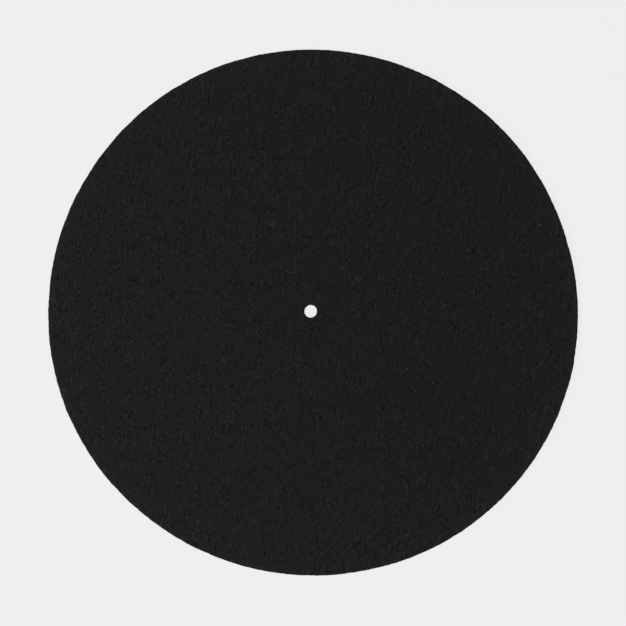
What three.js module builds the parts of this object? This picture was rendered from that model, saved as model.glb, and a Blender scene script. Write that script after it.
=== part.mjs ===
import * as THREE from 'three';

// A turntable platter mat: one disc of thick black felt, cut from a single sheet, with a hole for the
// platter's spindle. Millimetres, +Z up. The mat lies on z = 0 with the spindle's axis on the Z axis.

// Driving dimensions
const MAT_DIAMETER = 300;
const MAT_THICKNESS = 3;
const SPINDLE_HOLE_DIAMETER = 7.2;
// The blade crushes the felt a little where it enters and leaves, so each cut has soft corners.
const RIM_ROUNDING = 0.5;
const HOLE_ROUNDING = 0.3;

// How finely the curves are divided
const STEPS_ROUND_THE_MAT = 180;
const STEPS_ROUND_A_CORNER = 3;

// Black felt, as a displayed colour, and nearly without shine
const FELT_COLOUR = 0x1e1e1e;
const FELT_ROUGHNESS = 0.96;

/** A corner's rounding, which reaches no further than the middle of the felt. */
function roundingThatFits( rounding ) {

	return Math.min( rounding, MAT_THICKNESS / 2 );

}

/** Points of a quarter turn about a centre, starting at an angle and going anticlockwise. */
function cornerPoints( centreRadius, centreHeight, rounding, startAngle ) {

	const points = [];
	for ( let step = 0; step <= STEPS_ROUND_A_CORNER; step ++ ) {

		const angle = startAngle + Math.PI / 2 * step / STEPS_ROUND_A_CORNER;
		points.push( new THREE.Vector2(
			centreRadius + rounding * Math.cos( angle ),
			centreHeight + rounding * Math.sin( angle ),
		) );

	}

	return points;

}

/** The felt's section from the spindle hole to the rim: along the underside, up the rim, back over the top. */
function matSection() {

	const rim = roundingThatFits( RIM_ROUNDING );
	const hole = roundingThatFits( HOLE_ROUNDING );
	const rimCentre = MAT_DIAMETER / 2 - rim;
	const holeCentre = SPINDLE_HOLE_DIAMETER / 2 + hole;
	const section = [
		...cornerPoints( rimCentre, rim, rim, - Math.PI / 2 ),
		...cornerPoints( rimCentre, MAT_THICKNESS - rim, rim, 0 ),
		...cornerPoints( holeCentre, MAT_THICKNESS - hole, hole, Math.PI / 2 ),
		...cornerPoints( holeCentre, hole, hole, Math.PI ),
	];
	section.push( section[ 0 ].clone() );
	return section;

}

/** The mat itself, turned from its section about the spindle's axis. */
function platterMat() {

	const geometry = new THREE.LatheGeometry( matSection(), STEPS_ROUND_THE_MAT );
	geometry.rotateX( Math.PI / 2 );
	const felt = new THREE.MeshStandardMaterial( {
		color: FELT_COLOUR,
		roughness: FELT_ROUGHNESS,
		metalness: 0,
	} );
	const mesh = new THREE.Mesh( geometry, felt );
	mesh.name = 'platter_mat';
	return mesh;

}

const mat = new THREE.Group();
mat.add( platterMat() );

export default mat;
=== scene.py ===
"""The finished look of a turntable platter mat: one thick disc of black pressed felt.

The mat is a sheet of felt with a cut rim and a punched spindle hole. Its body has the soft relief
of pressed wool, its record side carries a nap of loose fibres that lean one way, and short fibre
ends stand out of both cuts. Lengths are in metres.
"""

from __future__ import annotations

import logging
import math
from contextlib import contextmanager
from dataclasses import dataclass
from enum import Enum
from typing import Any, Callable, Iterator

import bpy
import numpy as np
from bpy.types import Material, Node, Object, World
from mathutils import Matrix, Vector, noise


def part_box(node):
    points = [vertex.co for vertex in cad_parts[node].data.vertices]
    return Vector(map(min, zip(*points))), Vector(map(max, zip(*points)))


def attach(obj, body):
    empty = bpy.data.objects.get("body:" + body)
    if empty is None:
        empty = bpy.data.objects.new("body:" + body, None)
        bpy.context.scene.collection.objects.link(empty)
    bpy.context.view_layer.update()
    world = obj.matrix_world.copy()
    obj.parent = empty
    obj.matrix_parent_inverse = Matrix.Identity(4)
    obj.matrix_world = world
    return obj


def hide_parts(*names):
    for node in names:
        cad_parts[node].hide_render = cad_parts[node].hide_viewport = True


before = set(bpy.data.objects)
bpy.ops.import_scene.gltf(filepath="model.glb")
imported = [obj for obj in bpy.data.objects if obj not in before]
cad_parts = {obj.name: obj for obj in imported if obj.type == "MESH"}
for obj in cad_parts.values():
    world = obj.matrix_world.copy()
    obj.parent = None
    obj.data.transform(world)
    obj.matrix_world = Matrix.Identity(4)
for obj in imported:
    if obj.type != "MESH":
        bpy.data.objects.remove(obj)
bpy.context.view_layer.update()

MM = 0.001
BODY = "root"
MAT_NODE = "platter_mat"
BAKE_MAP = "OFBake"
SHADE = "shade"
RUFFLED = "ruffled"
NOISE_MIDDLE = 0.5
MIX_LOW, MIX_HIGH, MIX_RESULT = 6, 7, 2

Pair = tuple[float, float]
Colour = tuple[float, float, float, float]
Array = np.ndarray
PerPoint = Callable[[Array], Array]

log = logging.getLogger("platter_mat")


class Face(Enum):
    """The two faces of the mat, and how many times coarser the rings of each one are."""

    RECORD_SIDE = 1
    UNDERSIDE = 2


class Cut(Enum):
    """The two edges that the blade leaves."""

    RIM = "rim"
    HOLE = "hole"


def math_node(operation: str, turned: bool = False) -> Callable[..., Wire]:
    """Makes a method of a wire that adds one Math node.

    Args:
        operation: The Math node's operation.
        turned: Whether the wire comes after the other value.

    Returns:
        The method.
    """

    def method(wire: Wire, *other: Any) -> Wire:
        """The result of the Math node that reads the wire and the other value, if any."""
        sockets = dict(enumerate((*other, wire) if turned else (wire, *other)))
        return wire.graph.wire(wire.graph.node("Math", {"operation": operation}, sockets))

    return method


class Wire:
    """A shader socket that takes part in arithmetic: each operator adds one Math node."""

    __add__ = math_node("ADD")
    __radd__ = math_node("ADD", turned=True)
    __sub__ = math_node("SUBTRACT")
    __rsub__ = math_node("SUBTRACT", turned=True)
    __mul__ = math_node("MULTIPLY")
    __rmul__ = math_node("MULTIPLY", turned=True)
    __abs__ = math_node("ABSOLUTE")
    exponential = math_node("EXPONENT")
    at_least = math_node("MAXIMUM")
    at_most = math_node("MINIMUM")

    def __init__(self, graph: Graph, socket: bpy.types.NodeSocket) -> None:
        """Wraps an output socket of a node in a graph."""
        self.graph = graph
        self.socket = socket


class Graph:
    """The node tree of one material or world, built from Python expressions."""

    def __init__(self, owner: Material | World) -> None:
        """Empties the node tree of a new material or world.

        Args:
            owner: The material or world.
        """
        self.owner = owner
        self.owner.use_nodes = True
        self.tree = self.owner.node_tree
        self.tree.nodes.clear()

    def node(self, kind: str, settings: dict[str, Any], sockets: dict[Any, Any]) -> Node:
        """Adds one node.

        Args:
            kind: The node's type, such as "Math".
            settings: Its own settings, which are set first.
            sockets: Values or wires for its input sockets, by name or number.

        Returns:
            The new node.
        """
        made = self.tree.nodes.new("ShaderNode" + kind)
        for name, value in settings.items():
            setattr(made, name, value)
        for name, value in sockets.items():
            if isinstance(value, Wire):
                self.tree.links.new(value.socket, made.inputs[name])
            else:
                made.inputs[name].default_value = value
        return made

    def wire(self, node: Node, output: Any = 0) -> Wire:
        """One output of a node as a wire."""
        return Wire(self, node.outputs[output])

    def vector(self, operation: str, sockets: dict[Any, Any], output: Any = 0) -> Wire:
        """Adds a Vector Math node and gives one of its outputs."""
        return self.wire(self.node("VectorMath", {"operation": operation}, sockets), output)

    def place(self) -> Wire:
        """The place on the piece, in its own frame."""
        return self.wire(self.node("TexCoord", {}, {}), "Object")

    def laid(self, place: Wire, turn: float, stretch: float) -> Wire:
        """Turns a place about the vertical and then stretches it.

        Args:
            place: The place to read.
            turn: How far the pattern is turned, in radians.
            stretch: How dense the pattern is along the turned Y axis, as a share of across it.

        Returns:
            The place that a pattern reads.
        """
        turned = self.node("Mapping", {}, {"Vector": place, "Rotation": (0.0, 0.0, turn)})
        sockets = {"Vector": self.wire(turned), "Scale": (1.0, stretch, 1.0)}
        return self.wire(self.node("Mapping", {}, sockets))

    def cloud(
        self, place: Wire, period: float, detail: float, space: str = "3D", output: str = "Fac"
    ) -> Wire:
        """Soft noise.

        Args:
            place: Where it is read.
            period: The length of its largest spots.
            detail: How many finer layers it has.
            space: "3D", or "2D" where it is the same at every height.
            output: "Fac" for one value from 0 to 1, "Color" for three.

        Returns:
            The noise.
        """
        sockets = {"Vector": place, "Scale": 1.0 / period, "Detail": detail}
        made = self.node("TexNoise", {"noise_dimensions": space}, sockets)
        return self.wire(made, output)

    def warped(self, place: Wire, period: float, reach: float) -> Wire:
        """A place pushed about by noise, so that straight patterns curl.

        Args:
            place: The place to push.
            period: The length of the curls.
            reach: How far they push.

        Returns:
            The pushed place.
        """
        push = self.cloud(place, period, 1.0, output="Color")
        centred = self.vector("SUBTRACT", {0: push, 1: (NOISE_MIDDLE,) * 3})
        scaled = self.vector("SCALE", {0: centred, "Scale": reach / NOISE_MIDDLE})
        return self.vector("ADD", {0: place, 1: scaled})

    def between(self, share: Wire, low: Colour, high: Colour) -> Wire:
        """A colour that is low at share 0, high at share 1 and mixed between them."""
        made = self.node(
            "Mix",
            {"data_type": "RGBA", "clamp_factor": True},
            {"Factor": share, MIX_LOW: low, MIX_HIGH: high},
        )
        return self.wire(made, MIX_RESULT)

    def attribute(self, name: str) -> Wire:
        """A value that the mesh carries."""
        return self.wire(self.node("Attribute", {"attribute_name": name}, {}), "Fac")

    def seen_straight(self) -> Wire:
        """Tells a straight look from other light.

        Returns:
            1 where the camera, a reflection or a clear view meets the surface, or else 0.
        """
        path = self.node("LightPath", {}, {})
        seen = self.wire(path, "Is Camera Ray").at_least(self.wire(path, "Is Glossy Ray"))
        return seen.at_least(self.wire(path, "Is Transmission Ray"))

    def mixed(self, share: Wire, first: Node, second: Node) -> Node:
        """A shader that is the first at share 0 and the second at share 1."""
        sockets = {0: share, 1: self.wire(first), 2: self.wire(second)}
        return self.node("MixShader", {}, sockets)

    def finish(self, shader: Node, output: str = "OutputMaterial") -> Material | World:
        """Joins a shader to the output and returns the material or world."""
        self.node(output, {}, {"Surface": self.wire(shader)})
        return self.owner


def grey(tone: float) -> Colour:
    """A grey as a shader's colour."""
    return (tone, tone, tone, 1.0)


@dataclass(frozen=True)
class RimPaling:
    """The wool is made paler near the cut rim: how much, and how far in, in two layers."""

    rim_radius: float
    layers: tuple[Pair, ...] = ((0.20, 3.5 * MM), (0.10, 17.0 * MM))

    def paled(self, colour: Wire, place: Wire) -> Wire:
        """Makes a colour paler towards the rim.

        Args:
            colour: The felt's own colour.
            place: The place on the piece.

        Returns:
            The paler colour.
        """
        graph = place.graph
        flat = graph.vector("MULTIPLY", {0: place, 1: (1.0, 1.0, 0.0)})
        radius = graph.vector("LENGTH", {0: flat}, "Value")
        depth = (self.rim_radius - radius).at_least(0.0)
        scale = 1.0
        for share, reach in self.layers:
            scale = scale + share * (depth * (-1.0 / reach)).exponential()
        return graph.vector("SCALE", {0: colour, "Scale": scale})


@dataclass(frozen=True)
class Wool:
    """What all the wool has in common: a matt skin with a faint sheen."""

    rim_paling: RimPaling
    gloss: float = 0.10
    sheen: float = 0.05
    sheen_roughness: float = 0.5
    sheen_tint: Colour = grey(0.3)

    def finished(self, place: Wire, colour: Wire, sockets: dict[str, Wire]) -> Material:
        """Gives a material the wool's skin.

        Args:
            place: The place on the piece.
            colour: The wool's colour, before it is made paler near the rim.
            sockets: What else changes over the piece, by the shader's socket.

        Returns:
            The material.
        """
        graph = place.graph
        skin = {
            # The colour, made paler towards the cut rim.
            "Base Color": self.rim_paling.paled(colour, place),
            "Specular IOR Level": self.gloss,
            "Sheen Weight": self.sheen,
            "Sheen Roughness": self.sheen_roughness,
            "Sheen Tint": self.sheen_tint,
        }
        return graph.finish(graph.node("BsdfPrincipled", {}, skin | sockets))


@dataclass(frozen=True)
class PressedFelt(Wool):
    """Near-black wool felt: matt, clumped, and covered with fine curled fibres."""

    # The colour of the felt's hollows, darkened as painted shade, and of its raised strokes, made
    # paler as painted light.
    shaded_hollow: Colour = grey(0.0008)
    raised: Colour = grey(0.0165)
    middle: float = 0.5
    nap_lean: float = math.radians(8.5)
    stroke: float = 1.08 * MM
    stroke_gain: float = 3.85
    stroke_stretch: float = 0.56
    streak: float = 1.5 * MM
    streak_gain: float = 2.05
    streak_stretch: float = 0.24
    still: float = 0.175
    flare: float = 0.55
    lift: float = 0.070
    lift_start: float = 0.34
    thread: float = 0.45 * MM
    thread_stretch: float = 0.34
    thread_turns: tuple[float, ...] = (-0.8, 0.0, 0.85)
    thread_gain: float = 0.45
    thread_mean: float = 0.53
    thread_sharpness: float = 16.0
    thread_polish: float = 0.12
    calm: float = 0.02
    stirred: float = 1.18
    curl: float = 1.4 * MM
    curl_reach: float = 0.09 * MM
    bump_height: float = 0.09 * MM
    roughness: float = 0.98
    sheen: float = 0.08
    sheen_roughness: float = 0.55
    sheen_tint: Colour = (0.30, 0.30, 0.31, 1.0)

    def material(self) -> Material:
        """Builds the felt's material.

        Returns:
            The material.
        """
        graph = Graph(bpy.data.materials.new("pressed_felt"))
        place = graph.place()
        curled = graph.warped(place, self.curl, self.curl_reach)
        strokes = self._strokes(curled, self.stroke, self.stroke_stretch)
        streaks = self._strokes(curled, self.streak, self.streak_stretch)
        threads = self._threads(curled)
        height = self.stroke_gain * strokes + self.streak_gain * streaks
        height = height + self.thread_gain * (threads - self.thread_mean)
        ruffled = graph.attribute(RUFFLED)
        height = height * (self.calm + (self.stirred - self.calm) * ruffled)
        # The colour follows the bump's height: partly the felt's own uneven tone, partly painted shade
        # in the hollows and painted light on the raised strokes.
        tone = self.middle + height + self.flare * height * height
        # Ruffled patches are painted paler: partly to match the paler ruffled felt, partly as painted
        # light that offsets the shading of their bumps and of the shadow curls.
        tone = tone + self.lift * (ruffled * ruffled - self.lift_start)
        bump = {"Strength": 1.0, "Distance": self.bump_height, "Height": height}
        sockets = {
            "Roughness": self.roughness - self.thread_polish * threads,
            "Normal": graph.wire(graph.node("Bump", {}, bump)),
        }
        return self.finished(place, graph.between(tone, self.shaded_hollow, self.raised), sockets)

    def _strokes(self, place: Wire, period: float, stretch: float) -> Wire:
        """Short strokes along the nap, raised or sunk, with still felt between them.

        Args:
            place: The place on the piece, already curled.
            period: How far apart the strokes lie across the nap.
            stretch: How dense they lie along the nap, as a share of across it.

        Returns:
            Above 0 on a raised stroke, below 0 on a sunk one.
        """
        napped = place.graph.laid(place, self.nap_lean, stretch)
        field = place.graph.cloud(napped, period, 0.0, space="2D") - NOISE_MIDDLE
        return field - field.at_most(self.still).at_least(-self.still)

    def _threads(self, place: Wire) -> Wire:
        """Curled threads: thin contour lines of stretched noise, laid in several directions.

        Args:
            place: The place on the piece, already curled.

        Returns:
            1 on a thread's back, 0 between the threads.
        """
        found = None
        for turn in self.thread_turns:
            laid = place.graph.laid(place, turn + self.nap_lean, self.thread_stretch)
            field = place.graph.cloud(laid, self.thread, 1.0)
            line = (1.0 - abs(field - NOISE_MIDDLE) * self.thread_sharpness).at_least(0.0)
            found = line if found is None else found.at_least(line)
        return found


@dataclass(frozen=True)
class LooseFibre(Wool):
    """A loose wool fibre: dyed black, with some that took the dye less well."""

    # The dye's black, which also paints the black shadow curls of the knots.
    dark: Colour = grey(0.001)
    pale: Colour = grey(0.100)
    mottle: float = 0.6 * MM
    least_shade: float = 0.7
    mottle_shade: float = 0.6
    least_roughness: float = 0.72
    mottle_roughness: float = 0.2

    def material(self) -> Material:
        """Builds the fibre's material, which reads each fibre's own shade.

        Returns:
            The material.
        """
        graph = Graph(bpy.data.materials.new("loose_fibre"))
        place = graph.place()
        mottle = graph.cloud(place, self.mottle, 1.0)
        shade = graph.attribute(SHADE) * (self.least_shade + self.mottle_shade * mottle)
        roughness = self.least_roughness + self.mottle_roughness * mottle
        colour = graph.between(shade, self.dark, self.pale)
        return self.finished(place, colour, {"Roughness": roughness})


@dataclass(frozen=True)
class PaleStudio:
    """Plain pale paper all round, which keeps a soft shadow, and soft even light from above."""

    tone: float = 0.863
    glow_share: float = 0.94
    sky_strength: float = 0.50

    def floor(self) -> Material:
        """Builds the floor: mostly its own tone to a straight look, lit paper to the rest.

        Returns:
            The floor's material.
        """
        graph = Graph(bpy.data.materials.new("floor_paper"))
        paper = graph.node("BsdfDiffuse", {}, {"Color": grey(self.tone)})
        glow = graph.node("Emission", {}, {"Color": grey(self.tone), "Strength": 1.0})
        return graph.finish(graph.mixed(graph.seen_straight() * self.glow_share, paper, glow))

    def world(self) -> World:
        """Builds the world: the paper's tone to a straight look, even light to the rest.

        Returns:
            The world.
        """
        graph = Graph(bpy.data.worlds.new("pale_room"))
        sockets = {"Color": grey(1.0), "Strength": self.sky_strength}
        light = graph.node("Background", {}, sockets)
        paper = graph.node("Background", {}, {"Color": grey(self.tone), "Strength": 1.0})
        mixed = graph.mixed(graph.seen_straight(), light, paper)
        return graph.finish(mixed, "OutputWorld")


def deselect() -> None:
    """Clears the selection, so that an operator acts on the next new piece alone."""
    bpy.ops.object.select_all(action="DESELECT")


@contextmanager
def editing(kind: str) -> Iterator[None]:
    """Edit mode on the active piece, for the length of a with block.

    Args:
        kind: What is selected there, such as "EDGE" or "FACE".
    """
    bpy.ops.object.mode_set(mode="EDIT")
    bpy.ops.mesh.select_mode(type=kind)
    yield
    bpy.ops.object.mode_set(mode="OBJECT")


def turn_outwards() -> None:
    """Turns all faces of the piece that is edited outwards."""
    bpy.ops.mesh.select_all(action="SELECT")
    bpy.ops.mesh.normals_make_consistent(inside=False)


def values_of(items: Any, name: str, width: int, kind: type = float) -> Array:
    """Reads one property of all the points, edges, corners or faces of a mesh.

    Args:
        items: The mesh's points, edges, corners or faces.
        name: The property.
        width: How many numbers it has.
        kind: The type of a number.

    Returns:
        One row for each item.
    """
    found = np.empty(len(items) * width, kind)
    items.foreach_get(name, found)
    return found.reshape(-1, width)


def points_of(obj: Object) -> Array:
    """The piece's points, one row each."""
    return values_of(obj.data.vertices, "co", 3)


def set_points(obj: Object, points: Array) -> None:
    """Moves the piece's points to these places."""
    obj.data.vertices.foreach_set("co", points.ravel())
    obj.data.update()


def reach_of(points: Array) -> Array:
    """How far each point lies from the mat's axis."""
    return np.hypot(points[:, 0], points[:, 1])


def polar(radius: Any, turn: Array) -> Array:
    """Rows of x and y, from how far away and in which direction they lie."""
    return np.column_stack((radius * np.cos(turn), radius * np.sin(turn)))


def pick(obj: Object, wanted: PerPoint) -> None:
    """Selects the points that wanted says, with the edges and faces between them.

    Args:
        obj: The piece, in object mode.
        wanted: Takes the points and says which ones count.
    """
    mesh = obj.data
    chosen = wanted(points_of(obj))
    mesh.vertices.foreach_set("select", chosen)
    ends = values_of(mesh.edges, "vertices", 2, np.int32)
    mesh.edges.foreach_set("select", chosen[ends].all(axis=1))
    faces = [all(chosen[point] for point in face.vertices) for face in mesh.polygons]
    mesh.polygons.foreach_set("select", faces)


def settle(obj: Object, material: Material) -> None:
    """Dresses a finished piece and lets it ride on the mat.

    Args:
        obj: The piece.
        material: Its finish.
    """
    obj.data.materials.append(material)
    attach(obj, BODY)


@dataclass(frozen=True)
class SoftNoise:
    """Soft noise in layers, each with its own period and strength, and read at its own height."""

    seed: float
    layer_gap: float
    layers: tuple[Pair, ...]

    def at(self, spots: Array) -> Array:
        """Adds up the layers.

        Args:
            spots: One row of x, y and z for each place.

        Returns:
            The sum at each place.
        """
        total = np.zeros(len(spots))
        for layer, (period, strength) in enumerate(self.layers):
            read = spots / period + (0.0, 0.0, self.seed + layer * self.layer_gap)
            total += strength * np.array([noise.noise(spot) for spot in read.tolist()])
        return total


@dataclass(frozen=True)
class Relief:
    """The soft hills that pressing leaves in the felt, a little longer along the nap."""

    nap_lean: float = math.radians(7.0)
    stretch: float = 1.35
    hills: SoftNoise = SoftNoise(
        seed=11.0,
        layer_gap=7.3,
        layers=((24.0 * MM, 0.07 * MM), (9.0 * MM, 0.035 * MM), (4.2 * MM, 0.035 * MM)),
    )

    def heights_at(self, places: Array) -> Array:
        """The felt's height above its mean face.

        Args:
            places: One row of x and y for each place.

        Returns:
            The height at each place.
        """
        lean_cos, lean_sin = math.cos(self.nap_lean), math.sin(self.nap_lean)
        x, y = places.T
        across = x * lean_cos - y * lean_sin
        along = (x * lean_sin + y * lean_cos) / self.stretch
        return self.hills.at(np.column_stack((across, along, np.zeros(len(x)))))


@dataclass(frozen=True)
class Ruffle:
    """Where the nap is ruffled: in patches under a centimetre across, smoother between them."""

    mean: float = 0.5
    stretch: float = 2.1
    growth: float = 0.7
    growth_side: float = math.radians(161.0)
    patches: SoftNoise = SoftNoise(
        seed=63.0, layer_gap=9.1, layers=((15.0 * MM, 0.4), (6.0 * MM, 1.2), (2.8 * MM, 1.6))
    )

    def shares(self, places: Array) -> Array:
        """How ruffled the nap is, from 0 to 1.

        Args:
            places: Rows that start with x and y.

        Returns:
            The share at each place.
        """
        x, y = places[:, 0], places[:, 1]
        growth = self.growth * (x * math.cos(self.growth_side) + y * math.sin(self.growth_side))
        patches = self.patches.at(np.column_stack((x, y / self.stretch, np.zeros(len(x)))))
        return np.clip(self.mean + growth + patches, 0.0, 1.0)


@dataclass(frozen=True)
class Lobe:
    """One even swelling of the mat's outline: how many bulges, how high, and where one lies."""

    bulges: int
    height: float
    direction: float


@dataclass
class FeltSheet:
    """The body of the mat: a sheet of felt with a cut rim and a punched spindle hole."""

    rim_radius: float
    hole_radius: float
    thickness: float
    relief: Relief = Relief()
    relief_fade: float = 2.0 * MM
    edge_relief: float = 0.25
    ruffle: Ruffle = Ruffle()
    lobes: tuple[Lobe, ...] = (
        Lobe(2, 0.71 * MM, math.radians(-16.9)),
        Lobe(3, 0.25 * MM, math.radians(-26.8)),
        Lobe(4, 0.08 * MM, math.radians(25.1)),
    )
    rim_rounding: float = 0.5 * MM
    hole_rounding: float = 0.3 * MM
    rings: int = 134
    hole_ring: int = 4
    ring_slack: float = 0.1
    corner_steps: int = 2
    slack: float = 0.02 * MM
    raggedness: SoftNoise = SoftNoise(
        seed=31.0,
        layer_gap=5.7,
        layers=(
            (75.0 * MM, 0.38 * MM),
            (34.0 * MM, 0.16 * MM),
            (12.0 * MM, 0.14 * MM),
            (4.5 * MM, 0.14 * MM),
            (1.8 * MM, 0.17 * MM),
        ),
    )
    hole_raggedness: float = 0.3
    underside_slope: float = -0.7
    top_map: float = 0.405
    under_map: float = 0.165
    map_margin: float = 0.008
    rim_room: float = 1.2
    hole_peel: float = 0.9

    def build(self, material: Material) -> Object:
        """Models the felt and dresses it.

        Args:
            material: The felt's finish.

        Returns:
            The finished piece.
        """
        felt = self._ringed_disc(Face.RECORD_SIDE)
        felt.name = "felt_sheet"
        for cut in Cut:
            self._fold_cut(felt, cut)
        self._ringed_disc(Face.UNDERSIDE)
        felt.select_set(True)
        bpy.context.view_layer.objects.active = felt
        bpy.ops.object.join()
        for cut in Cut:
            self._bridge(felt, cut)
        with editing("EDGE"):
            turn_outwards()
        self._lay_out_map(felt)
        self._sculpt(felt)
        bpy.ops.object.shade_smooth()
        settle(felt, material)
        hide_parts(MAT_NODE)
        return felt

    def record_side(self, places: Array) -> Array:
        """The record side's height under rows of x and y."""
        return self.thickness + self.relief.heights_at(places)

    def swell(self, turn: Array) -> Array:
        """How far the outline stands out of a true circle in each direction."""
        return sum(
            lobe.height * np.cos(lobe.bulges * (turn - lobe.direction)) for lobe in self.lobes
        )

    def swollen(self, points: Array) -> Array:
        """Points of a true disc, moved out to the mat's real outline.

        Args:
            points: One row for each point.

        Returns:
            The moved points.
        """
        radius = reach_of(points)
        turn = np.arctan2(points[:, 1], points[:, 0])
        share = (radius / self.rim_radius) ** 2
        grown = 1.0 + self.swell(turn) * share / np.maximum(radius, self.hole_radius / 2)
        return np.column_stack((points[:, :2] * grown[:, None], points[:, 2]))

    def _flat_edge(self, cut: Cut) -> float:
        """The radius at which the flat faces end and a cut begins."""
        if cut is Cut.RIM:
            return self.rim_radius - self.rim_rounding
        return self.hole_radius + self.hole_rounding

    def _on_ring(self, points: Array, radius: float, height: float) -> Array:
        """Whether each point lies on the ring with this radius, at this height."""
        near = np.abs(reach_of(points) - radius) < self.slack
        return near & (np.abs(points[:, 2] - height) < self.slack)

    def _ringed_disc(self, face: Face) -> Object:
        """Makes one flat face: a square grid wrapped into rings, open in the middle.

        Args:
            face: Which face of the mat it is.

        Returns:
            The face, at its height, selected and active.
        """

        def ring_of(points: Array) -> Array:
            """The square ring that each point of the grid lies on."""
            return np.abs(points[:, :2]).max(axis=1)

        rings, hole_ring = self.rings // face.value, self.hole_ring // face.value
        deselect()
        bpy.ops.mesh.primitive_grid_add(
            x_subdivisions=2 * rings, y_subdivisions=2 * rings, size=2.0 * rings
        )
        disc = bpy.context.object
        pick(disc, lambda points: ring_of(points) < 2 * hole_ring + self.ring_slack)
        with editing("FACE"):
            bpy.ops.mesh.subdivide(number_cuts=1)
        pick(disc, lambda points: ring_of(points) < hole_ring + self.ring_slack)
        with editing("FACE"):
            bpy.ops.mesh.delete(type="FACE")
            if face is Face.UNDERSIDE:
                bpy.ops.mesh.select_all(action="SELECT")
                bpy.ops.mesh.flip_normals()
        points = points_of(disc)
        share = (ring_of(points) - hole_ring) / (rings - hole_ring)
        height = self.thickness if face is Face.RECORD_SIDE else 0.0
        set_points(disc, self._wrapped(points, share, height))
        return disc

    def _wrapped(self, points: Array, share: Array, height: float) -> Array:
        """Turns the square rings of a grid into round ones.

        Args:
            points: The grid's points.
            share: How far out each point's ring lies, from 0 at the hole to 1 at the rim.
            height: The height of the flat face.

        Returns:
            The points of the flat face.
        """
        x, y = points[:, 0], points[:, 1]
        wide = np.abs(x) >= np.abs(y)
        long, short = np.where(wide, x, y), np.where(wide, y, x)
        slant = math.pi / 4 * (short / long)
        main, side = np.sign(long) * np.cos(slant), np.sign(long) * np.sin(slant)
        inner, outer = self._flat_edge(Cut.HOLE), self._flat_edge(Cut.RIM)
        radius = inner + (outer - inner) * share
        flat = radius * np.where(wide, (main, side), (side, main))
        return np.column_stack((*flat, np.full(len(x), height)))

    def _cut_section(self, cut: Cut) -> list[Pair]:
        """The radius and height of each step down a cut, from the record side's edge.

        Args:
            cut: Which cut it is.

        Returns:
            The steps, without the first and the last edge, which the faces have.
        """
        side, edge, rounding = 1.0, self.rim_radius, self.rim_rounding
        if cut is Cut.HOLE:
            side, edge, rounding = -1.0, self.hole_radius, self.hole_rounding
        upper = []
        for step in range(1, self.corner_steps + 1):
            angle = math.pi / 2 * step / self.corner_steps
            radius = edge - side * rounding * (1 - math.sin(angle))
            upper.append((radius, self.thickness - rounding * (1 - math.cos(angle))))
        middle = [(edge, self.thickness * 2 / 3), (edge, self.thickness / 3)]
        lower = [(radius, self.thickness - height) for radius, height in reversed(upper)]
        return upper + middle + lower

    def _fold_cut(self, felt: Object, cut: Cut) -> None:
        """Extrudes the edge of the record side down along a cut, step by step.

        Args:
            felt: The record side, with what was folded before.
            cut: Which edge to fold.
        """
        radius, height = self._flat_edge(cut), self.thickness
        pick(felt, lambda points: self._on_ring(points, radius, height))
        with editing("EDGE"):
            for next_radius, next_height in self._cut_section(cut):
                bpy.ops.mesh.extrude_edges_move(
                    TRANSFORM_OT_translate={"value": (0.0, 0.0, next_height - height)}
                )
                grow = next_radius / radius
                bpy.ops.transform.resize(
                    value=(grow, grow, 1.0), center_override=(0.0, 0.0, next_height)
                )
                radius, height = next_radius, next_height

    def _bridge(self, felt: Object, cut: Cut) -> None:
        """Closes the felt between a cut's last step and the underside's edge.

        Args:
            felt: The joined felt.
            cut: Which cut to close.
        """
        last, edge = self._cut_section(cut)[-1], (self._flat_edge(cut), 0.0)
        pick(felt, lambda points: self._on_ring(points, *last) | self._on_ring(points, *edge))
        with editing("EDGE"):
            bpy.ops.mesh.bridge_edge_loops()

    def _lay_out_map(self, felt: Object) -> None:
        """Peels the felt onto a flat map: the record side with both cuts, the underside smaller.

        Args:
            felt: The closed felt, before it is sculpted.
        """
        mesh = felt.data
        spot = points_of(felt)[values_of(mesh.loops, "vertex_index", 1, np.int32)[:, 0]]
        corners = values_of(mesh.polygons, "loop_total", 1, np.int32)[:, 0]
        slope = values_of(mesh.polygons, "normal", 3)[:, 2]
        under = np.repeat(slope < self.underside_slope, corners)
        radius, depth = reach_of(spot), self.thickness - spot[:, 2]
        peel = np.where(radius > self.rim_radius / 2, 1.0, -self.hole_peel) * depth
        shown = radius + np.where(under, 0.0, peel)
        widest = self.rim_radius + self.rim_room * self.thickness
        size = np.where(under, self.under_map / self.rim_radius, self.top_map / widest)
        top_middle = self.top_map + self.map_margin
        middle = np.where(under, 1 - self.under_map - self.map_margin, top_middle)
        turn = np.arctan2(spot[:, 1], spot[:, 0])
        turn = np.where(under, math.pi - turn, turn)
        layer = mesh.uv_layers.new(name=BAKE_MAP)
        layer.uv.foreach_set("vector", (middle[:, None] + polar(size * shown, turn)).ravel())

    def _sculpt(self, felt: Object) -> None:
        """Presses the relief into both faces, frays the cuts and gives the outline its real form.

        Args:
            felt: The closed felt.
        """
        points = points_of(felt)
        radius = reach_of(points)
        top = points[:, 2] > self.thickness - self.slack
        bottom = points[:, 2] < self.slack
        wall = ~(top | bottom)
        heights = self.relief.heights_at(points[:, :2])
        depth = np.minimum(radius - self._flat_edge(Cut.HOLE), self._flat_edge(Cut.RIM) - radius)
        inside = np.clip(depth / self.relief_fade, self.edge_relief, 1.0)
        lifted = points.copy()
        lifted[top, 2] += heights[top] * inside[top]
        lifted[bottom, 2] += np.abs(heights[bottom])
        torn = self.raggedness.at(points[wall])
        torn *= np.where(radius[wall] > self.rim_radius / 2, 1.0, self.hole_raggedness)
        lifted[wall, :2] *= 1.0 + (torn / radius[wall])[:, None]
        set_points(felt, self.swollen(lifted))
        ruffled = felt.data.attributes.new(RUFFLED, "FLOAT", "POINT")
        ruffled.data.foreach_set("value", self.ruffle.shares(points))


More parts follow.
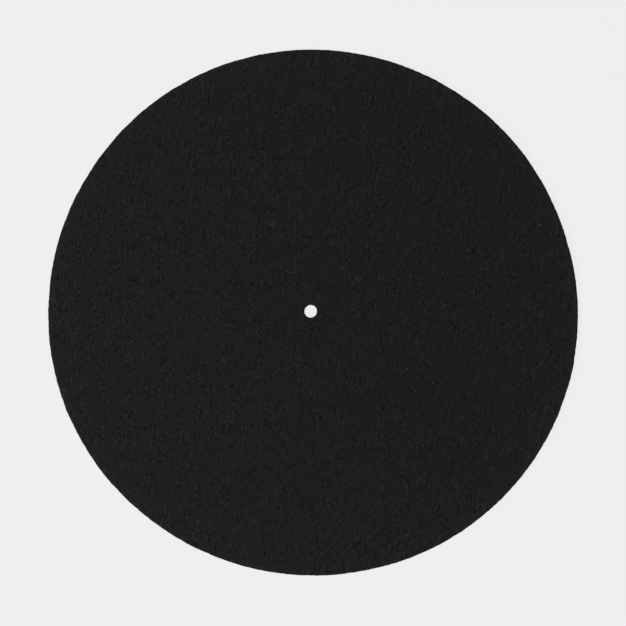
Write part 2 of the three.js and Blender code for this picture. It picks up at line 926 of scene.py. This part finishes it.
@dataclass
class Strand:
    """One fibre modelled once: where each point lies along, beside and above it, and its faces."""

    segments: int

    def __post_init__(self) -> None:
        """Models a straight fibre of unit length, with three sides and stations to bend at."""
        deselect()
        bpy.ops.mesh.primitive_circle_add(
            vertices=3, radius=0.5, fill_type="NGON", rotation=(0.0, math.pi / 2, 0.0)
        )
        made = bpy.context.object
        bpy.ops.object.transform_apply()
        with editing("EDGE"):
            bpy.ops.mesh.select_all(action="SELECT")
            for _ in range(self.segments):
                bpy.ops.mesh.extrude_region_move(
                    TRANSFORM_OT_translate={"value": (1.0 / self.segments, 0.0, 0.0)}
                )
            turn_outwards()
            bpy.ops.mesh.quads_convert_to_tris()
        self.along, self.beside, self.above = points_of(made).T
        self.stations, self.station = np.unique(np.round(self.along, 6), return_inverse=True)
        self.faces = np.array([list(face.vertices) for face in made.data.polygons], np.int32)
        bpy.data.objects.remove(made, do_unlink=True)


@dataclass
class Locks:
    """Many fibres of one kind: for each its root, its way, its size, its bend and its shade."""

    roots: Array
    headings: Array
    lengths: Array
    widths: Array
    bends: Array
    curls: Array
    lifts: Array
    shades: Array

    def only(self, kept: Array) -> Locks:
        """The fibres that kept says, without the others."""
        return Locks(*(values[kept] for values in vars(self).values()))


@dataclass
class Fibres:
    """Loose fibres of one kind, copied from one modelled strand and laid on or in the felt."""

    felt: FeltSheet
    material: Material
    seed: int = 0
    segments: int = 4
    flatness: float = 0.7
    bury: float = 0.06 * MM
    tip: float = 0.45
    cell_share: float = 0.6

    def __post_init__(self) -> None:
        """Models the strand and seeds the source of chance."""
        self.strand = Strand(self.segments)
        self.draw = np.random.default_rng(self.seed)

    def spread_out(self, count: int, edge: float = 0.0) -> Array:
        """Draws places at random, evenly over the record side.

        Args:
            count: How many places.
            edge: How far they keep from both cuts.

        Returns:
            One row of x and y for each place.
        """
        inner, outer = self.felt.hole_radius + edge, self.felt.rim_radius - edge
        radius = np.sqrt(self.draw.uniform(inner**2, outer**2, count))
        return polar(radius, self.draw.uniform(-math.pi, math.pi, count))

    def lay(self, name: str, locks: Locks, surface: PerPoint) -> Object:
        """Copies the strand once for each fibre, bends each copy and lays it down.

        Args:
            name: The piece's name.
            locks: The fibres.
            surface: Gives the height of the felt under rows of x and y.

        Returns:
            The finished piece.
        """
        stations, station = self.strand.stations, self.strand.station
        middle = (stations[1:] + stations[:-1]) / 2
        heading = locks.headings[:, None] + np.outer(locks.bends, middle - 0.5)
        heading += np.outer(locks.curls, np.sin(2 * np.pi * middle))
        stride = locks.lengths[:, None] * np.diff(stations)
        strides = np.dstack((stride * np.cos(heading), stride * np.sin(heading)))
        path = np.concatenate((locks.roots[:, None], strides), axis=1).cumsum(axis=1)
        ground = surface(path.reshape(-1, 2)).reshape(path.shape[:2])
        arch = np.sin(np.pi * stations)
        height = ground - self.bury + (locks.lifts[:, None] + self.bury) * arch
        facing = np.concatenate((heading[:, :1], heading), axis=1)[:, station]
        thick = locks.widths[:, None] * (self.tip + (1 - self.tip) * arch)[station]
        x = path[:, station, 0] - np.sin(facing) * thick * self.strand.beside
        y = path[:, station, 1] + np.cos(facing) * thick * self.strand.beside
        z = height[:, station] + self.flatness * thick * self.strand.above
        piece = self._piece(name, np.dstack((x, y, z)), locks.shades)
        settle(piece, self.material)
        return piece

    def _piece(self, name: str, points: Array, shades: Array) -> Object:
        """Makes one piece of all the copies, with each fibre's shade and its own spot on the map.

        Args:
            name: The piece's name.
            points: For each fibre, its points.
            shades: For each fibre, its shade.

        Returns:
            The piece.
        """
        count, size = points.shape[:2]
        index = np.arange(count)[:, None]
        corner = self.strand.faces.ravel()
        corners = (corner + index * size).ravel()
        mesh = bpy.data.meshes.new(name)
        mesh.vertices.add(count * size)
        mesh.loops.add(len(corners))
        mesh.polygons.add(len(corners) // 3)
        mesh.vertices.foreach_set("co", points.ravel())
        mesh.loops.foreach_set("vertex_index", corners)
        mesh.polygons.foreach_set("loop_start", np.arange(0, len(corners), 3, dtype=np.int32))
        mesh.polygons.foreach_set("use_smooth", np.ones(len(corners) // 3, bool))
        mesh.update(calc_edges=True)
        shade = mesh.attributes.new(SHADE, "FLOAT", "POINT")
        shade.data.foreach_set("value", np.repeat(shades, size))
        layer = mesh.uv_layers.new(name=BAKE_MAP)
        cells = math.ceil(math.sqrt(count))
        local_u = 0.5 + self.cell_share * (self.strand.along[corner] - 0.5)
        local_v = 0.5 + self.cell_share * self.strand.beside[corner]
        u = (index % cells + local_u) / cells
        v = (index // cells + local_v) / cells
        layer.uv.foreach_set("vector", np.dstack((u, v)).ravel())
        obj = bpy.data.objects.new(name, mesh)
        bpy.context.scene.collection.objects.link(obj)
        return obj


@dataclass
class Nap(Fibres):
    """The nap of the record side: little tufts of loose fibres that mostly lean one way."""

    seed: int = 20
    pieces: int = 3
    tufts_in_a_piece: int = 1500
    fibres_in_a_tuft: int = 4
    lean: float = math.radians(83.0)
    spread: float = math.radians(11.0)
    stray: float = 0.16
    shortest: float = 0.9 * MM
    longest: float = 4.3 * MM
    length_odds: Pair = (1.6, 2.6)
    length_shares: Pair = (0.6, 1.0)
    widths: Pair = (0.07 * MM, 0.17 * MM)
    tuft_width: float = 0.17 * MM
    tuft_slip: float = 0.45 * MM
    tuft_bend: float = 0.45
    bend: float = 0.2
    curl: float = 0.25
    lifts: Pair = (0.03 * MM, 0.18 * MM)
    edge: float = 0.35 * MM
    felt_shade: float = 0.072
    paleness: float = 0.32
    shade_odds: Pair = (0.8, 3.4)
    shade_shares: Pair = (0.8, 1.2)
    calm: float = 0.06
    stirred: float = 1.34

    def build(self) -> list[Object]:
        """Lays the nap's fibres, one piece after the other."""
        return [
            self.lay(f"nap_fibres_{number}", self._locks(), self.felt.record_side)
            for number in range(1, self.pieces + 1)
        ]

    def _locks(self) -> Locks:
        """Draws one piece's fibres at random, tuft by tuft.

        Returns:
            The fibres.
        """
        draw = self.draw
        tufts, count = self.tufts_in_a_piece, self.tufts_in_a_piece * self.fibres_in_a_tuft

        def shared(values: Array) -> Array:
            """Gives what is drawn for each tuft to all of its fibres."""
            return np.repeat(values, self.fibres_in_a_tuft, axis=0)

        tuft = shared(self.spread_out(tufts))
        tuft_heading = shared(self.lean + draw.normal(0.0, self.spread, tufts))
        tuft_length = shared(draw.beta(*self.length_odds, tufts))
        heading = tuft_heading + draw.normal(0.0, self.stray, count)
        length = self.shortest + (self.longest - self.shortest) * tuft_length
        length *= draw.uniform(*self.length_shares, count)
        beside = draw.normal(0.0, self.tuft_width, count)
        ahead = draw.normal(0.0, self.tuft_slip, count) - length / 2
        roots = tuft + polar(ahead, tuft_heading) + polar(beside, tuft_heading + math.pi / 2)
        ends = np.stack((reach_of(roots), reach_of(roots + polar(length, heading))))
        within = ends.max(axis=0) < self.felt.rim_radius - self.edge
        kept = within & (ends.min(axis=0) > self.felt.hole_radius + self.edge)
        shade = shared(draw.beta(*self.shade_odds, tufts)) * draw.uniform(*self.shade_shares, count)
        stir = self.calm + (self.stirred - self.calm) * self.felt.ruffle.shares(roots)
        shade = self.felt_shade + (shade * self.paleness - self.felt_shade) * stir
        locks = Locks(
            roots=roots,
            headings=heading,
            lengths=length,
            widths=draw.uniform(*self.widths, count),
            bends=shared(draw.normal(0.0, self.tuft_bend, tufts)) + draw.normal(0.0, self.bend, count),
            curls=draw.normal(0.0, self.curl, count),
            lifts=draw.uniform(*self.lifts, count),
            shades=np.clip(shade, 0.0, 1.0),
        )
        return locks.only(kept)


@dataclass
class Curls(Fibres):
    """Little knots of curled fibre ends that stand up where the nap is ruffled: one pale curl in the
    middle, and black curls around it that are painted shadow under the raised fibre.
    """

    seed: int = 5
    segments: int = 3
    knots: int = 4200
    curls_in_a_knot: int = 4
    shadow_spread: Pair = (0.42 * MM, 0.65 * MM)
    lean: float = math.radians(83.0)
    spread: float = math.radians(35.0)
    lengths: Pair = (0.5 * MM, 1.3 * MM)
    widths: Pair = (0.18 * MM, 0.42 * MM)
    bend: float = 1.3
    curl: float = 0.3
    lifts: Pair = (0.06 * MM, 0.22 * MM)
    shade_odds: Pair = (2.2, 2.6)
    edge: float = 1.6 * MM

    def build(self) -> list[Object]:
        """Sets the curls.

        Returns:
            The piece, in a list.
        """
        draw = self.draw
        count = self.knots * self.curls_in_a_knot
        knots = self.spread_out(self.knots, self.edge)
        kept = draw.uniform(0.0, 1.0, self.knots) < self.felt.ruffle.shares(knots) ** 2
        offset = draw.normal(0.0, 1.0, (count, 2)) * self.shadow_spread
        # The first curl of each knot is pale; the others are black, as painted shadow around it.
        pale = np.arange(count) % self.curls_in_a_knot == 0
        offset[pale] = 0.0
        locks = Locks(
            roots=np.repeat(knots, self.curls_in_a_knot, axis=0) + offset,
            headings=self.lean + draw.normal(0.0, self.spread, count),
            lengths=draw.uniform(*self.lengths, count),
            widths=draw.uniform(*self.widths, count),
            bends=draw.normal(0.0, self.bend, count),
            curls=draw.normal(0.0, self.curl, count),
            lifts=draw.uniform(*self.lifts, count),
            shades=np.where(pale, draw.beta(*self.shade_odds, count), 0.0),
        )
        locks = locks.only(np.repeat(kept, self.curls_in_a_knot))
        return [self.lay("nap_curls", locks, self.felt.record_side)]


@dataclass
class CutFuzz(Fibres):
    """Fibre ends that stand out of the cut rim and the punched hole."""

    seed: int = 47
    flatness: float = 1.0
    bury: float = 0.0
    rim_ends: int = 2000
    hole_ends: int = 90
    rim_root: float = 0.15 * MM
    hole_root: float = 0.1 * MM
    shortest: float = 0.3 * MM
    rim_longest: float = 0.9 * MM
    hole_longest: float = 0.7 * MM
    length_odds: Pair = (1.2, 3.0)
    widths: Pair = (0.03 * MM, 0.06 * MM)
    spread: float = 0.75
    bend: float = 1.0
    curl: float = 0.3
    lift: float = 0.12 * MM
    shade_odds: Pair = (1.3, 3.0)

    def build(self) -> list[Object]:
        """Sets the fibre ends of both cuts.

        Returns:
            The pieces.
        """
        made = []
        for cut, count in ((Cut.RIM, self.rim_ends), (Cut.HOLE, self.hole_ends)):
            locks, heights = self._locks(cut, count)
            heights = np.repeat(heights, self.segments + 1)
            made.append(self.lay(f"{cut.value}_fuzz", locks, lambda _: heights))
        return made

    def _locks(self, cut: Cut, count: int) -> tuple[Locks, Array]:
        """Draws the fibre ends of one cut at random.

        Args:
            cut: Which cut they stand in.
            count: How many there are.

        Returns:
            The fibres, and the height at which each leaves the cut.
        """
        draw = self.draw
        turn = draw.uniform(-math.pi, math.pi, count)
        if cut is Cut.RIM:
            radius = self.felt.rim_radius - self.rim_root + self.felt.swell(turn)
            outward, longest = turn, self.rim_longest
        else:
            radius = self.felt.hole_radius + self.hole_root
            outward, longest = turn + math.pi, self.hole_longest
        length = self.shortest + (longest - self.shortest) * draw.beta(*self.length_odds, count)
        rounding = self.felt.rim_rounding
        heights = draw.uniform(rounding, self.felt.thickness - rounding, count)
        locks = Locks(
            roots=polar(radius, turn),
            headings=outward + draw.normal(0.0, self.spread, count),
            lengths=length,
            widths=draw.uniform(*self.widths, count),
            bends=draw.normal(0.0, self.bend, count),
            curls=draw.normal(0.0, self.curl, count),
            lifts=draw.normal(0.0, self.lift, count),
            shades=draw.beta(*self.shade_odds, count),
        )
        return locks, heights


def toward(azimuth: float, elevation: float) -> Vector:
    """The direction in which a lamp or a camera stands, seen from the mat."""
    level = math.cos(elevation)
    return Vector((level * math.cos(azimuth), level * math.sin(azimuth), math.sin(elevation)))


@dataclass
class Studio:
    """A pale paper floor, soft light with a broad lamp to the lower left, and a camera overhead."""

    mat_radius: float
    floor_size: float = 6.0
    floor_gap: float = 0.02 * MM
    room: PaleStudio = PaleStudio()
    lamp_distance: float = 1.75
    lamp_size: float = 0.75
    lamp_azimuth: float = math.radians(206.0)
    lamp_elevation: float = math.radians(45.0)
    lamp_power: float = 21.2
    camera_distance: float = 0.80
    camera_azimuth: float = math.radians(-33.3)
    camera_elevation: float = math.radians(86.56)
    camera_range: Pair = (0.01, 50.0)
    frame_pixels: float = 626.0
    mat_radius_pixels: float = 263.45
    aim: Pair = (1.233 * MM, -0.909 * MM)
    sensor: float = 36.0

    def build(self) -> None:
        """Builds the floor, the light and the camera."""
        for build in (self._floor, self._light, self._camera):
            build()

    def _floor(self) -> None:
        """Lays the paper floor just under the mat."""
        deselect()
        bpy.ops.mesh.primitive_plane_add(
            size=self.floor_size, location=(0.0, 0.0, -self.floor_gap)
        )
        floor = bpy.context.object
        floor.name = "paper_floor"
        bpy.ops.object.transform_apply()
        floor.data.materials.append(self.room.floor())

    def _light(self) -> None:
        """Hangs the broad lamp and lights the room evenly."""
        bpy.context.scene.world = self.room.world()
        lamp = bpy.data.lights.new("broad_lamp", "AREA")
        lamp.shape = "DISK"
        lamp.size = self.lamp_size
        lamp.energy = self.lamp_power
        hung = bpy.data.objects.new("broad_lamp", lamp)
        hung.location = self.lamp_distance * toward(self.lamp_azimuth, self.lamp_elevation)
        hung.rotation_euler = hung.location.to_track_quat("Z", "Y").to_euler()
        bpy.context.scene.collection.objects.link(hung)

    def _camera(self) -> None:
        """Sets the camera overhead, a little to the lower right, with the mat's real framing."""
        seen_width = self.mat_radius * self.frame_pixels / self.mat_radius_pixels
        lens = bpy.data.cameras.new("overhead_camera")
        lens.sensor_width = self.sensor
        lens.lens = self.sensor * self.camera_distance / seen_width
        lens.clip_start, lens.clip_end = self.camera_range
        camera = bpy.data.objects.new("overhead_camera", lens)
        away = toward(self.camera_azimuth, self.camera_elevation)
        camera.location = Vector((*self.aim, 0.0)) + away * self.camera_distance
        right = Vector((0.0, 1.0, 0.0)).cross(away).normalized()
        turned = Matrix((right, away.cross(right), away)).transposed()
        camera.rotation_euler = turned.to_euler()
        bpy.context.scene.collection.objects.link(camera)
        bpy.context.scene.camera = camera


def main() -> None:
    """Builds the mat, its loose fibres and the studio."""
    logging.basicConfig(level=logging.INFO, format="%(name)s: %(message)s")
    bpy.context.scene.view_settings.view_transform = "Standard"
    low, high = (Vector(corner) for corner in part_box(MAT_NODE))
    felt = FeltSheet(
        rim_radius=(high.x - low.x) / 2,
        hole_radius=float(reach_of(points_of(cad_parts[MAT_NODE])).min()),
        thickness=high.z - low.z,
    )
    # Both finishes are made paler towards the cut rim.
    rim_paling = RimPaling(felt.rim_radius)
    body = felt.build(PressedFelt(rim_paling).material())
    fibre = LooseFibre(rim_paling).material()
    loose = Nap(felt, fibre).build() + Curls(felt, fibre).build() + CutFuzz(felt, fibre).build()
    for piece in (body, *loose):
        log.info("%s: %d faces", piece.name, len(piece.data.polygons))
    Studio(felt.rim_radius).build()
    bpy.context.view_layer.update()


if __name__ == "__main__":
    main()
